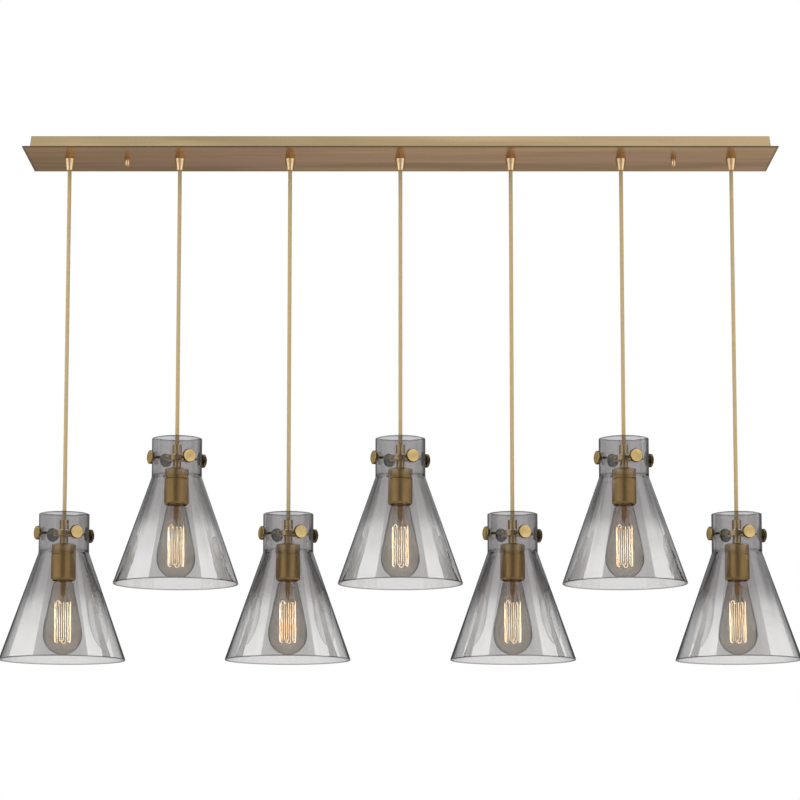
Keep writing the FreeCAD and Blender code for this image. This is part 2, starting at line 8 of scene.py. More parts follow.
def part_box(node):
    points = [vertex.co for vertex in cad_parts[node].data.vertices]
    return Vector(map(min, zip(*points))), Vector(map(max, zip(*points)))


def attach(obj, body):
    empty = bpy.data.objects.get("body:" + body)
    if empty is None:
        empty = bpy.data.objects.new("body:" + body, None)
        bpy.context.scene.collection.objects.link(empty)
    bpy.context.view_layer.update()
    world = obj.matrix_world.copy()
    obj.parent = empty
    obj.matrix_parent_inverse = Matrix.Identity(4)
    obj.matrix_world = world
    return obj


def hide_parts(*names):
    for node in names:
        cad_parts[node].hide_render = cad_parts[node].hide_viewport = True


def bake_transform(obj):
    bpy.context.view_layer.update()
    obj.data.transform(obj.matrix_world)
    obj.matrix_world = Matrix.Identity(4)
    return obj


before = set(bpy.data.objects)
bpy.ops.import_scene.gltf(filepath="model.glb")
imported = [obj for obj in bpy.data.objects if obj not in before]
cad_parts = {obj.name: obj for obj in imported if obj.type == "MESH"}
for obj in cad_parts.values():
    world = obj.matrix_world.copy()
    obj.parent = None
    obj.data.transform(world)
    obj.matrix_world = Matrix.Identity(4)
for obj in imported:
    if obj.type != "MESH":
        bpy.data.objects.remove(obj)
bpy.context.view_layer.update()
scene = bpy.context.scene
scene.view_settings.view_transform = "Standard"

# Camera, at the photograph's angle: below the shades and looking up a little
view = {
    "distance": 4.5,  # metres in front of the row of cords
    "drop": 1.18,  # metres below the ceiling
    "tiltUp": 7.31,  # degrees
    "lens": 126.3,
    "shift": (-0.0005, 0.138),
}


def setCamera():
    lens = bpy.data.cameras.new("photoCamera")
    lens.lens = view["lens"]
    lens.shift_x, lens.shift_y = view["shift"]
    camera = bpy.data.objects.new("photoCamera", lens)
    camera.location = (0, -view["distance"], -view["drop"])
    camera.rotation_euler = (math.radians(90 + view["tiltUp"]), 0, 0)
    scene.collection.objects.link(camera)
    scene.camera = camera


setCamera()
print("camera set")


# Node trees: one wrapper for sockets, so that maths reads as maths

class Wired:
    def __init__(self, book, socket):
        self.book = book
        self.socket = socket

    def __add__(self, other):
        return self.book.maths("ADD", self, other)

    def __sub__(self, other):
        return self.book.maths("SUBTRACT", self, other)

    def __rsub__(self, other):
        return self.book.maths("SUBTRACT", other, self)

    def __mul__(self, other):
        return self.book.maths("MULTIPLY", self, other)

    def __truediv__(self, other):
        return self.book.maths("DIVIDE", self, other)

    def __rtruediv__(self, other):
        return self.book.maths("DIVIDE", other, self)

    def __abs__(self):
        return self.book.maths("ABSOLUTE", self)

    __radd__ = __add__
    __rmul__ = __mul__


class NodeBook:
    def __init__(self, tree):
        self.tree = tree
        tree.nodes.clear()

    def add(self, kind, settings=None, inputs=None, out=0):
        node = self.tree.nodes.new(kind)
        for key, value in (settings or {}).items():
            setattr(node, key, value)
        for key, value in (inputs or {}).items():
            for one in value if isinstance(value, list) else [value]:
                if isinstance(one, Wired):
                    self.tree.links.new(one.socket, node.inputs[key])
                else:
                    node.inputs[key].default_value = one
        if not node.outputs:
            return node
        return Wired(self, node.outputs[out])

    def maths(self, operation, *values):
        return self.add("ShaderNodeMath", {"operation": operation}, dict(enumerate(values)))

    def other(self, wired, out):
        return Wired(self, wired.socket.node.outputs[out])

    def stretched(self, vector, scale):
        return self.add("ShaderNodeVectorMath", {"operation": "MULTIPLY"}, {0: vector, 1: scale})

    def noise(self, vector, scale, detail=2.0, roughness=0.5):
        wanted = {"Vector": vector, "Scale": scale, "Detail": detail, "Roughness": roughness}
        return self.add("ShaderNodeTexNoise", {}, wanted)

    def fade(self, value, low, high, fromLevel=0.0, toLevel=1.0):
        wanted = {"Value": value, "From Min": low, "From Max": high,
                  "To Min": fromLevel, "To Max": toLevel}
        return self.add("ShaderNodeMapRange", {"interpolation_type": "SMOOTHSTEP"}, wanted)

    def mixed(self, share, first, second):
        colours = {"Factor": share, 6: first, 7: second}
        return self.add("ShaderNodeMix", {"data_type": "RGBA"}, colours, out=2)


class Finish(NodeBook):
    def __init__(self, name):
        self.material = bpy.data.materials.new(name)
        self.material.use_nodes = True
        super().__init__(self.material.node_tree)
        self.place = self.add("ShaderNodeTexCoord", out="Object")

    def stored(self, name):
        return self.add("ShaderNodeAttribute", {"attribute_name": name}, out="Fac")

    def bump(self, height, strength, distance):
        wanted = {"Height": height, "Strength": strength, "Distance": distance}
        return self.add("ShaderNodeBump", {}, wanted)

    def surface(self, inside=None, **sockets):
        named = {key.replace("_", " "): value for key, value in sockets.items()}
        ends = {"Surface": self.add("ShaderNodeBsdfPrincipled", {}, named)}
        if inside:
            wanted = dict(zip(("Color", "Density"), inside))
            ends["Volume"] = self.add("ShaderNodeVolumeAbsorption", {}, wanted)
        self.add("ShaderNodeOutputMaterial", {}, ends)
        return self.material


# Room: white behind, bright walls with two tall strip lights, a dim ceiling with two soft boxes
room = {
    "white": 1.0,
    "ambient": 0.62,  # what matt surfaces get from all sides
    "wall": 0.88,
    "wallBehind": 0.62,
    "wallBehindRight": 0.92,
    "front": (0.58, 1.02),  # what the canopy's left and middle mirror in front
    "frontRight": 0.80,  # and how much of it its right end does
    "backLow": 0.12,  # what upright edges mirror
    "stripe": 0.30,  # dim stripe behind the camera, between the strip lights
    "stripeFoot": 0.12,  # the same at floor level
    "lowBack": 0.25,  # the wall's foot behind the part
    "strip": 1.15,
    "stripFoot": 0.5,  # how much brighter the strip lights are at floor level
    "stripHead": 0.4,  # and over the shades
    "ceiling": 0.14,
    "ground": (0.36, 0.515),  # what the canopy's left and middle mirror below
    "groundTint": (1.0, 0.93, 0.945, 1),
    "box": 1.85,
    "boxAim": (0.759, -0.016, 0.651),  # towards the right box; the left one mirrors it
    "boxShift": 0.09,  # how much further back the right box stands
}
roomEdges = {  # where each part of the room fades in, as a share of the direction's x, y or z
    "right": (-0.1, 0.1),
    "leftToMiddle": (-0.10, 0.0),
    "middleToRight": (0.02, 0.12),
    "behind": (0.05, 0.5),
    "behindCamera": (-0.5, -0.8),
    "low": (0.36, 0.30),
    "backLow": (0.70, 0.86),
    "backLowRight": (0.20, 0.62),
    "backLowTop": (0.27, 0.20),
    "stripeSide": (0.30, 0.12),
    "stripeFoot": (0.05, 0.10),
    "stripInner": (0.42, 0.52),
    "stripOuter": (0.97, 0.92),
    "stripFront": (0.05, -0.15),
    "stripFoot": (0.10, 0.05),
    "stripHead": (0.18, 0.22),
    "lowBack": (-0.2, 0.1),
    "lowBackTop": (0.09, 0.04),
    "frontSide": (0.45, 0.30),
    "ceiling": (0.46, 0.60),
    "ground": (-0.02, -0.16),
    "box": (0.870, 0.882),  # cosines of the boxes' soft edge
}


def lightRoom():
    world = bpy.data.worlds.new("studio")
    world.use_nodes = True
    scene.world = world
    book = NodeBook(world.node_tree)
    edge = roomEdges
    direction = book.add("ShaderNodeTexCoord", out="Generated")
    way = book.add("ShaderNodeSeparateXYZ", {}, {0: direction}, out="X")
    side = abs(way)
    ahead = book.other(way, "Y")
    rise = book.other(way, "Z")
    toRight = book.fade(way, *edge["right"])
    behind = room["wallBehind"] + toRight * (room["wallBehindRight"] - room["wallBehind"])
    wall = book.fade(ahead, *edge["behind"], room["wall"], behind)
    low = book.fade(rise, *edge["low"])
    backLow = book.maths("MAXIMUM", book.fade(ahead, *edge["backLow"]),
                         toRight * book.fade(ahead, *edge["backLowRight"]))
    stripe = book.fade(side, *edge["stripeSide"]) * book.fade(ahead, *edge["behindCamera"])
    strip = (book.fade(side, *edge["stripInner"]) * book.fade(side, *edge["stripOuter"])
             * book.fade(ahead, *edge["stripFront"]))
    stripLevel = (room["strip"] + book.fade(rise, *edge["stripFoot"]) * room["stripFoot"]
                  + book.fade(rise, *edge["stripHead"]) * room["stripHead"])
    level = wall + book.fade(rise, *edge["backLowTop"]) * backLow * (room["backLow"] - wall)
    stripeLevel = book.fade(rise, *edge["stripeFoot"], room["stripeFoot"], room["stripe"])
    level = level + low * stripe * (stripeLevel - level)
    level = level + low * strip * (stripLevel - level)
    lowBack = book.fade(rise, *edge["lowBackTop"]) * book.fade(ahead, *edge["lowBack"])
    level = level + lowBack * (room["lowBack"] - level)
    front = book.fade(side, *edge["frontSide"]) * book.fade(ahead, *edge["behindCamera"]) * (1 - low)
    frontLevel = book.fade(way, *edge["leftToMiddle"], *room["front"])
    frontLevel = frontLevel * book.fade(way, *edge["middleToRight"], 1.0, room["frontRight"])
    level = level + front * (frontLevel - level)
    level = level + book.fade(rise, *edge["ceiling"]) * (room["ceiling"] - level)
    below = book.fade(rise, *edge["ground"])
    level = level + below * (book.fade(way, *edge["leftToMiddle"], *room["ground"]) - level)
    aimX, aimY, aimZ = room["boxAim"]
    toBox = side * aimX + ahead * (toRight * room["boxShift"] + aimY) + rise * aimZ
    level = level + book.fade(toBox, *edge["box"]) * (room["box"] - level)
    rays = book.add("ShaderNodeLightPath", out="Is Camera Ray")
    glossy = book.maths("MINIMUM", book.other(rays, "Glossy Depth"), 1.0)  # mirrored, also through glass
    seen = book.maths("MAXIMUM", rays, book.other(rays, "Is Transmission Ray")) * (1 - glossy)
    strength = room["ambient"] + glossy * (level - room["ambient"])
    strength = strength + seen * (room["white"] - strength)
    colour = book.mixed(below * glossy, (1, 1, 1, 1), room["groundTint"])
    light = book.add("ShaderNodeBackground", {}, {"Color": colour, "Strength": strength})
    book.add("ShaderNodeOutputWorld", {}, {"Surface": light})


floorLook = {
    "drop": 2.4,  # metres below the ceiling
    "half": 30.0,
    "melt": (5.0, 20.0),  # where it starts and ends melting into the white behind
    "pale": (0.92, 0.92, 0.91, 1.0),
    "speck": (0.6, 0.6, 0.6, 1),
    "speckScale": 40.0,
    "speckShare": 0.06,
}


def layFloor():
    finish = Finish("paleFloor")
    look = floorLook
    speckle = finish.noise(finish.place, look["speckScale"], 4.0)
    colour = finish.mixed(speckle * look["speckShare"], look["pale"], look["speck"])
    matt = finish.add("ShaderNodeBsdfDiffuse", {}, {"Color": colour})
    clear = finish.add("ShaderNodeBsdfTransparent")
    under = finish.add("ShaderNodeNewGeometry", out="Backfacing")  # open when seen from below
    flat = finish.stretched(finish.place, (1, 1, 0))
    away = finish.add("ShaderNodeVectorMath", {"operation": "LENGTH"}, {0: flat}, out="Value")
    gone = finish.maths("MAXIMUM", under, finish.fade(away, *look["melt"]))
    shown = finish.add("ShaderNodeMixShader", {}, {0: gone, 1: matt, 2: clear})
    finish.add("ShaderNodeOutputMaterial", {}, {"Surface": shown})
    half = look["half"]
    corners = [(-half, -half), (half, -half), (half, half), (-half, half)]
    mesh = bpy.data.meshes.new("floor")
    mesh.from_pydata([(x, y, -look["drop"]) for x, y in corners], [], [(0, 1, 2, 3)])
    mesh.materials.append(finish.material)
    floor = bpy.data.objects.new("floor", mesh)
    floor.visible_glossy = False  # brass mirrors the room's own ground instead
    scene.collection.objects.link(floor)


lamps = {
    "keyLamp": {"at": (-2.6, -3.2, 1.2), "watts": 60, "size": 2.6},
    "fillLamp": {"at": (3.0, -2.6, 0.2), "watts": 26, "size": 2.6},
    "backLamp": {"at": (0.4, 3.4, 1.0), "watts": 26, "size": 2.6},
}
lampTarget = Vector((0, 0, -0.5))


def hangLamps():
    for name, lamp in lamps.items():
        light = bpy.data.lights.new(name, "AREA")
        light.energy = lamp["watts"]
        light.size = lamp["size"]
        holder = bpy.data.objects.new(name, light)
        holder.location = lamp["at"]
        holder.rotation_euler = (lampTarget - holder.location).to_track_quat("-Z", "Y").to_euler()
        holder.visible_glossy = False
        holder.visible_transmission = False
        scene.collection.objects.link(holder)


lightRoom()
layFloor()
hangLamps()
print("room lit")


# Finishes
brassEdge = (0.84, 0.73, 0.58, 1)  # brass keeps its colour at grazing angles


def polished(finish, tint, rough, normal):
    return finish.surface(Base_Color=tint, Metallic=1.0, Roughness=rough, Normal=normal,
                          Specular_Tint=brassEdge)


brasses = {
    "turned": {"pale": (0.82, 0.57, 0.24, 1), "deep": (0.73, 0.495, 0.19, 1), "grain": (12, 12, 700),
               "roughness": 0.33},
    "hub": {"pale": (0.96, 0.735, 0.41, 1), "deep": (0.86, 0.64, 0.33, 1), "grain": (12, 12, 700),
            "roughness": 0.29},
    "grip": {"pale": (0.93, 0.70, 0.42, 1), "deep": (0.74, 0.51, 0.25, 1), "grain": (20, 20, 900),
             "roughness": 0.17},
}
brassGrain = {
    "grit": 0.6,
    "cloudScale": 7.0,
    "tones": (0.32, 0.68),  # what part of the noise goes from deep to pale
    "spread": 0.06,  # of the roughness
    "bump": (0.3, 0.000004),  # strength and depth
}


def brass(name):
    finish = Finish(name + "Brass")
    own, grain = brasses[name], brassGrain
    lines = finish.noise(finish.stretched(finish.place, own["grain"]), 1.0, 3.0, grain["grit"])
    clouds = finish.noise(finish.place, grain["cloudScale"], 3.0)
    tone = finish.fade(lines * 0.5 + clouds * 0.5, *grain["tones"])
    tint = finish.mixed(tone, own["deep"], own["pale"])
    rough = own["roughness"] + (lines * 0.6 + clouds * 0.4 - 0.5) * grain["spread"]
    return polished(finish, tint, rough, finish.bump(lines, *grain["bump"]))


# The wall and the plate are one brass; the plate's darker tones are painted shade for its downward face.
# Each part also sets its share of a painted sheen towards the plate's front and of a painted dark line
# along the plate's edges.
canopyTones = {
    "wall": {"pale": (0.92, 0.69, 0.385, 1), "deep": (0.56, 0.42, 0.225, 1),
             "blush": (0.68, 0.505, 0.315, 1), "blushShare": 0.35, "frontSheenShare": 0.0, "edgeShadeShare": 0.0},
    "plate": {"pale": (0.75, 0.55, 0.34, 1), "deep": (0.365, 0.265, 0.165, 1),
              "blush": (0.60, 0.42, 0.315, 1), "blushShare": 0.75, "frontSheenShare": 0.22, "edgeShadeShare": 0.8},
}
canopyGrain = {
    "lines": (4, 420, 420),  # brushed along the canopy
    "bands": (2.2, 30, 30),
    "clouds": (3.1, 17, 17),
    "tones": (0.36, 0.74),
    "blush": (0.40, 0.60),
    "frontSheen": (0.03, -0.075),  # where the painted sheen towards the plate's front edge fades in, in metres from the canopy's middle line
    "edge": (0.17, 0.12, 0.075, 1),  # painted shade: a dark line along the plate's edges
    "edgeShadeWidth": 0.006,
    "roughness": 0.23,
    "spread": 0.14,
    "bump": (0.3, 0.00004),
}


def canopyBrass(name):
    finish = Finish(name + "Brass")
    own, grain = canopyTones[name], canopyGrain
    lines, bands, clouds = (finish.noise(finish.stretched(finish.place, grain[kind]), 1.0, 3.0)
                            for kind in ("lines", "bands", "clouds"))
    spot = finish.add("ShaderNodeSeparateXYZ", {}, {0: finish.place}, out="X")
    depth = finish.other(spot, "Y")
    # painted reflection: the plate lightens towards its front edge, on top of the brass's own banded
    # tone
    frontSheen = finish.fade(depth, *grain["frontSheen"])
    bandsAndFrontSheen = finish.fade(bands * 0.8 + lines * 0.2 + frontSheen * own["frontSheenShare"], *grain["tones"])
    tint = finish.mixed(bandsAndFrontSheen, own["deep"], own["pale"])
    tint = finish.mixed(finish.fade(clouds, *grain["blush"]) * own["blushShare"], tint, own["blush"])
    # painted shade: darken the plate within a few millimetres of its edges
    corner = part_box("canopy_" + name)[1]
    width = grain["edgeShadeWidth"]
    edgeShadeMask = finish.maths("MAXIMUM", abs(spot) - (corner.x - width), abs(depth) - (corner.y - width))
    tint = finish.mixed(finish.fade(edgeShadeMask, 0.0, width) * own["edgeShadeShare"], tint, grain["edge"])
    rough = grain["roughness"] + (lines * 0.6 + bands * 0.4 - 0.5) * grain["spread"]
    return polished(finish, tint, rough, finish.bump(lines, *grain["bump"]))


knobLook = {
    "pale": (0.50, 0.365, 0.165, 1),
    "deep": (0.42, 0.30, 0.125, 1),
    # painted shade: the colour of the knob's back, rim and shank, darker than its lit front face
    "patina": (0.11, 0.095, 0.06, 1),
    "rings": 2600.0,  # turning marks per metre of radius
    "ringWander": 30.0,
    "cloudScale": 70.0,
    "tones": (0.35, 0.65),
    "roughness": 0.17,
    "bump": (0.25, 0.00004),
}


def knobBrass():
    finish = Finish("knobBrass")
    look = knobLook
    radius = finish.stored("spinRadius")
    marks = {"X": radius * look["rings"], "Y": finish.noise(finish.place, look["ringWander"])}
    rings = finish.noise(finish.add("ShaderNodeCombineXYZ", {}, marks), 1.0, 2.0, 0.7)
    clouds = finish.noise(finish.place, look["cloudScale"], 3.0)
    # painted shade: darken everything but the knob's front face
    patina = finish.stored("patina")
    tint = finish.mixed(finish.fade(clouds, *look["tones"]), look["deep"], look["pale"])
    tint = finish.mixed(patina, tint, look["patina"])
    rough = look["roughness"] + (rings - 0.5) * 0.12 + (clouds - 0.5) * 0.08 + patina * 0.12
    return polished(finish, tint, rough, finish.bump(rings, *look["bump"]))


smoke = {
    "inside": ((0.20, 0.19, 0.185, 1), 114.0),  # colour and density, which let two thirds through
    "mouth": (1.0, 0.995, 0.99, 1),
    "neck": (0.71, 0.695, 0.70, 1),  # more smoke towards the neck
    "sideShade": (0.15, 0.145, 0.145, 1),  # painted shade: the upper cone darkens where it is seen at a slant, for the dark bands along its sides
    "rims": (0.42, 0.41, 0.41, 1),  # painted shade: darker glass along the top and mouth rims, for the dark lines there
    "ripple": (14, 14, 6),
    "bump": (0.08, 0.0008),
    "coatIOR": 2.8,
}
smokeEdges = {  # shares of a shade's height, from its mouth up, or of its slant to the eye
    "thick": (0.25, 0.60),
    "sideShadeSlant": (0.30, 0.46),
    "sideShadeTop": (0.76, 0.70),
    "upperRim": (0.987, 0.994),
    "lowerRim": (0.010, 0.004),
    "neck": (0.74, 0.79),
    "neckSlant": (0.28, 0.55),
    "coneGloss": (0.46, 0.32),
    "mouthGloss": (0.28, 0.08),
}


def smokedGlass():
    finish = Finish("smokedGlass")
    edge = smokeEdges
    rise = finish.stored("shadeRise")
    ripple = finish.noise(finish.stretched(finish.place, smoke["ripple"]), 1.0, 1.0)
    thick = finish.fade(rise + (ripple - 0.5) * 0.1, *edge["thick"])
    tint = finish.mixed(thick, smoke["mouth"], smoke["neck"])
    slant = finish.add("ShaderNodeLayerWeight", {}, {"Blend": 0.5}, out="Facing")
    # painted shade on the upper cone's slanting sides
    sideShade = finish.fade(slant, *edge["sideShadeSlant"]) * thick * finish.fade(rise, *edge["sideShadeTop"])
    tint = finish.mixed(sideShade, tint, smoke["sideShade"])
    # painted shade: darken the glass along both rims
    rims = finish.fade(rise, *edge["upperRim"]) + finish.fade(rise, *edge["lowerRim"])
    tint = finish.mixed(rims, tint, smoke["rims"])
    outside = finish.stored("shadeOutside")
    neckEdge = finish.fade(rise, *edge["neck"]) * finish.fade(slant, *edge["neckSlant"])
    gloss = (finish.fade(rise, *edge["coneGloss"]) * 0.37 + finish.fade(rise, *edge["mouthGloss"]) * 0.33
             + neckEdge * 0.6)
    return finish.surface(smoke["inside"], Base_Color=tint, Roughness=0.0, IOR=1.47,
                          Transmission_Weight=1.0, Coat_Weight=outside * gloss, Coat_Roughness=0.02,
                          Coat_IOR=smoke["coatIOR"], Normal=finish.bump(ripple, *smoke["bump"]))


bulbLook = {
    "tint": ((0.97, 0.95, 0.92, 1), (1.0, 0.99, 0.97, 1)),
    # painted glow: an amber shine for the bulb's stem, though the stem is no lamp; the bulb glass gets
    # none
    "lit": ((1.0, 0.42, 0.10, 1), (1.0, 0.60, 0.22, 1)),
    "bulb": ((0.35, 0.26, 0.16, 1), 370.0),  # colour and density inside the glass
    "stem": ((0.74, 0.56, 0.28, 1), 260.0),
    "stemGlow": 0.03,
    "wire": (0.5, 0.3, 0.12, 1),
    "glow": ((1.0, 0.68, 0.32, 1), (1.0, 0.92, 0.72, 1)),
    "glowStrength": 4.2,
}


def clearGlass(name, inside, paintedGlow):
    finish = Finish(name)
    swirl = finish.noise(finish.place, 22.0, 2.0)
    tint = finish.mixed(finish.fade(swirl, 0.3, 0.7), *bulbLook["tint"])
    # painted glow: the colour of a shine given to glass that is no lamp
    lit = finish.mixed(swirl, *bulbLook["lit"])
    return finish.surface(inside, Base_Color=tint, Roughness=0.0, IOR=1.5, Transmission_Weight=1.0,
                          Emission_Color=lit, Emission_Strength=paintedGlow,
                          Normal=finish.bump(swirl, 0.05, 0.0006))


def glowingWire():
    finish = Finish("glowingWire")
    heat = finish.fade(finish.noise(finish.place, 55.0, 2.0), 0.3, 0.7)
    glow = finish.mixed(heat, *bulbLook["glow"])
    return finish.surface(Base_Color=bulbLook["wire"], Roughness=0.5, Emission_Color=glow,
                          Emission_Strength=bulbLook["glowStrength"])


weave = {
    "carriers": 12.0,  # yarns round the cord
    "picks": 520.0,  # yarn crossings per metre
    "fibre": (900, 900, 250),
    "deep": (0.51, 0.37, 0.17, 1),
    "pale": (0.65, 0.495, 0.26, 1),
    "tones": (0.25, 0.95),
    "bump": (0.25, 0.0002),
}


def wovenCord():
    finish = Finish("wovenCord")
    unwrapped = finish.add("ShaderNodeTexCoord", out="UV")
    spot = finish.add("ShaderNodeSeparateXYZ", {}, {0: unwrapped}, out="X")
    across = spot * weave["carriers"]
    along = finish.other(spot, "Y") * weave["picks"]
    leftYarn = abs(finish.maths("SINE", (across + along) * math.pi))
    rightYarn = abs(finish.maths("SINE", (across - along) * math.pi))
    checks = finish.maths("SINE", across * math.pi) * finish.maths("SINE", along * math.pi)
    over = finish.fade(checks, -0.1, 0.1)
    yarn = leftYarn * over + rightYarn * (1 - over)
    fibre = finish.noise(finish.stretched(finish.place, weave["fibre"]), 1.0, 3.0)
    tone = finish.fade(yarn * 0.7 + fibre * 0.5, *weave["tones"])
    tint = finish.mixed(tone, weave["deep"], weave["pale"])
    return finish.surface(Base_Color=tint, Roughness=0.5 + fibre * 0.15, Metallic=0.3,
                          Sheen_Weight=0.2, Normal=finish.bump(yarn + fibre * 0.3, *weave["bump"]))


zinc = {
    "deep": (0.46, 0.47, 0.49, 1),
    "pale": (0.68, 0.69, 0.70, 1),
    "flakes": 160.0,
    "stains": 30.0,
    "roughness": 0.3,
    "bump": (0.2, 0.0001),
}


def zincSteel():
    finish = Finish("zincSteel")
    spread = {"Vector": finish.place, "Scale": zinc["flakes"]}
    flakes = finish.add("ShaderNodeTexVoronoi", {}, spread, out="Color")
    grey = finish.add("ShaderNodeRGBToBW", {}, {0: flakes})
    stain = finish.noise(finish.place, zinc["stains"], 4.0)
    tint = finish.mixed(grey * 0.6 + stain * 0.4, zinc["deep"], zinc["pale"])
    return finish.surface(Base_Color=tint, Metallic=1.0, Roughness=zinc["roughness"] + grey * 0.18,
                          Normal=finish.bump(stain, *zinc["bump"]))


plastics = {
    "blackInsulator": {"dark": (0.018, 0.018, 0.018, 1), "pale": (0.05, 0.048, 0.045, 1),
                       "roughness": 0.45},
    "leadInsulation": {"dark": (0.56, 0.54, 0.49, 1), "pale": (0.72, 0.70, 0.65, 1),
                       "roughness": 0.5},
}
plasticGrain = {"grain": 700.0, "clouds": 35.0, "tones": (0.3, 0.7), "bump": (0.3, 0.00006)}


def moulded(name):
    finish = Finish(name)
    own = plastics[name]
    grain = finish.noise(finish.place, plasticGrain["grain"], 3.0)
    cloud = finish.noise(finish.place, plasticGrain["clouds"], 3.0)
    tone = finish.fade(grain * 0.4 + cloud * 0.6, *plasticGrain["tones"])
    tint = finish.mixed(tone, own["dark"], own["pale"])
    return finish.surface(Base_Color=tint, Roughness=own["roughness"] + (cloud - 0.5) * 0.2,
                          Normal=finish.bump(grain, *plasticGrain["bump"]))


finishes = {
    **{name: canopyBrass(name) for name in canopyTones},
    **{name: brass(name) for name in brasses},
    "knob": knobBrass(),
    "shade": smokedGlass(),
    "bulb": clearGlass("bulbGlass", bulbLook["bulb"], 0.0),
    "stem": clearGlass("stemGlass", bulbLook["stem"], bulbLook["stemGlow"]),
    "glow": glowingWire(),
    "cord": wovenCord(),
    "zinc": zincSteel(),
    "black": moulded("blackInsulator"),
    "lead": moulded("leadInsulation"),
}
print("finishes made:", len(finishes))


# Meshes

def lift(height):
    return Vector((0, 0, height))


def newMesh(name, points, faces):
    mesh = bpy.data.meshes.new(name)
    mesh.from_pydata(points, [], faces)
    mesh.validate()
    return mesh


def smoothed(mesh, sharpAngle=38):
    for face in mesh.polygons:
        face.use_smooth = True
    mesh.set_sharp_from_angle(angle=math.radians(sharpAngle))
    return mesh


def pointOutwards(mesh):
    shell = bmesh.new()
    shell.from_mesh(mesh)
    if shell.calc_volume(signed=True) < 0:
        bmesh.ops.reverse_faces(shell, faces=shell.faces)
    shell.to_mesh(mesh)
    shell.free()
    return mesh


def roundedLoop(corners):
    # corners are (radius, height) or (radius, height, rounding), in order round a closed section
    loop = []
    count = len(corners)
    for i, corner in enumerate(corners):
        here = Vector(corner[:2])
        if len(corner) == 2:
            loop.append(here)
            continue
        back = (Vector(corners[i - 1][:2]) - here).normalized()
        ahead = (Vector(corners[(i + 1) % count][:2]) - here).normalized()
        half = back.angle(ahead) / 2
        middle = here + (back + ahead).normalized() * corner[2] / math.sin(half)
        start = here + back * corner[2] / math.tan(half) - middle
        turn = start.angle_signed(here + ahead * corner[2] / math.tan(half) - middle)
        steps = max(2, math.ceil(abs(turn) / math.radians(12)))
        for step in range(steps + 1):
            loop.append(middle + Matrix.Rotation(-turn * step / steps, 2) @ start)
    return loop


def lathe(name, loop, segments, sharpAngle=38):
    pole = 1e-7
    points = []
    rings = []
    for radius, height in loop:
        first = len(points)
        if radius < pole:
            points.append((0, 0, height))
            rings.append([first] * segments)
            continue
        for i in range(segments):
            angle = 2 * math.pi * i / segments
            points.append((radius * math.cos(angle), radius * math.sin(angle), height))
        rings.append(list(range(first, first + segments)))
    faces = []
    for lower, upper in zip(rings, rings[1:] + rings[:1]):
        for i in range(segments):
            j = (i + 1) % segments
            corners = list(dict.fromkeys((lower[i], lower[j], upper[j], upper[i])))
            if len(corners) > 2:
                faces.append(corners)
    return smoothed(pointOutwards(newMesh(name, points, faces)), sharpAngle)


def helix(name, radius, low, high, pitch, depth, segments, rowsPerTurn):
    # a rolled thread: the wall waves once for each turn of the pitch, and both ends close on the axis
    rows = math.ceil((high - low) / pitch * rowsPerTurn)
    points = []
    for row in range(rows + 1):
        height = low + (high - low) * row / rows
        ease = min(1.0, 2.0 * min(row, rows - row) / rowsPerTurn)
        for i in range(segments):
            angle = 2 * math.pi * i / segments
            wave = 0.5 - 0.5 * math.cos(2 * math.pi * (height - low) / pitch - angle)
            reach = radius - depth * (1 - wave * ease)
            points.append((reach * math.cos(angle), reach * math.sin(angle), height))
    faces = []
    for row in range(rows):
        for i in range(segments):
            j = (i + 1) % segments
            start = row * segments
            faces.append((start + i, start + j, start + segments + j, start + segments + i))
    faces.append(tuple(reversed(range(segments))))
    faces.append(tuple(range(rows * segments, (rows + 1) * segments)))
    return smoothed(pointOutwards(newMesh(name, points, faces)))


def joined(name, meshes):
    whole = bmesh.new()
    for mesh in meshes:
        whole.from_mesh(mesh)
    result = bpy.data.meshes.new(name)
    whole.to_mesh(result)
    whole.free()
    return result


def linked(name, mesh):
    piece = bpy.data.objects.new(name, mesh)
    scene.collection.objects.link(piece)
    return piece


def evaluated(piece):
    graph = bpy.context.evaluated_depsgraph_get()
    return bpy.data.meshes.new_from_object(piece.evaluated_get(graph))


# Geometry Nodes: three small trees that everything repeated goes through

def newTree(name, sizes):
    tree = bpy.data.node_groups.new(name, "GeometryNodeTree")
    book = NodeBook(tree)
    tree.interface.new_socket("Geometry", in_out="OUTPUT", socket_type="NodeSocketGeometry")
    tree.interface.new_socket("Geometry", in_out="INPUT", socket_type="NodeSocketGeometry")
    kinds = {int: "NodeSocketInt", float: "NodeSocketFloat"}
    for label, value in sizes.items():
        socket = tree.interface.new_socket(label, in_out="INPUT", socket_type=kinds[type(value)])
        socket.default_value = value
    tree.interface.new_socket("Material", in_out="INPUT", socket_type="NodeSocketMaterial")
    return book, book.add("NodeGroupInput", out="Geometry")


def endTree(book, entry, geometry):
    real = book.add("GeometryNodeRealizeInstances", {}, {0: geometry})
    wanted = {0: real, "Material": book.other(entry, "Material")}
    painted = book.add("GeometryNodeSetMaterial", {}, wanted)
    book.add("NodeGroupOutput", {}, {0: painted})
    return book.tree


def turnByIndex(book, count):
    angle = book.add("GeometryNodeInputIndex") * 2 * math.pi / count
    return book.add("ShaderNodeCombineXYZ", {}, {"Z": angle})


